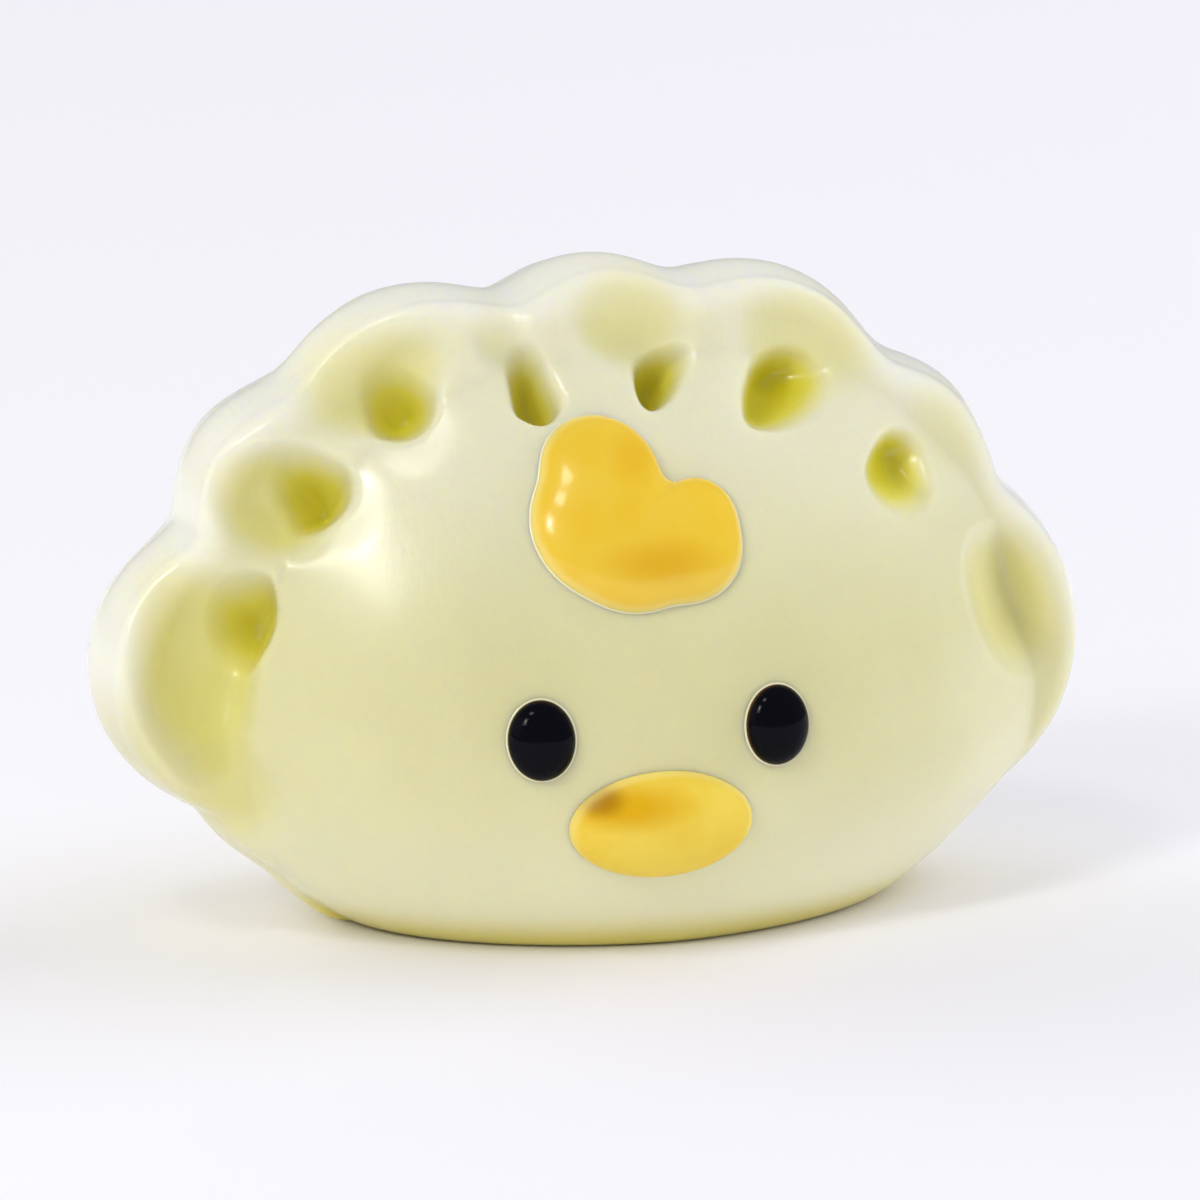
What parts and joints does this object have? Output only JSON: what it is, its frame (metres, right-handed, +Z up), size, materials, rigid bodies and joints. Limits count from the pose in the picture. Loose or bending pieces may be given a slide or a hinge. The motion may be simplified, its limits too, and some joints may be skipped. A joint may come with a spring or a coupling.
{
  "type": "chick-shaped dumpling squeeze toy",
  "caption": "Soft moulded squeeze toy in the form of a crimped dumpling with a chick's face, standing on a flat base.",
  "frame": {"origin": "on the flat base, below the middle of the face and in the middle plane of the frill", "axes": "+X to the right along the row of pleats as seen from the face, -Y towards the face, +Z up"},
  "size_m": [0.0801, 0.0419, 0.0518],
  "materials": {
    "body": "glossy, translucent pale yellow-green",
    "comb": "glossy, translucent egg yellow",
    "beak": "glossy, translucent amber yellow",
    "eyes": "high gloss black"
  },
  "bodies": {
    "root": {"body": "body", "comb": "comb", "beak": "beak", "eye_left": "eyes", "eye_right": "eyes"}
  },
  "joints": []
}
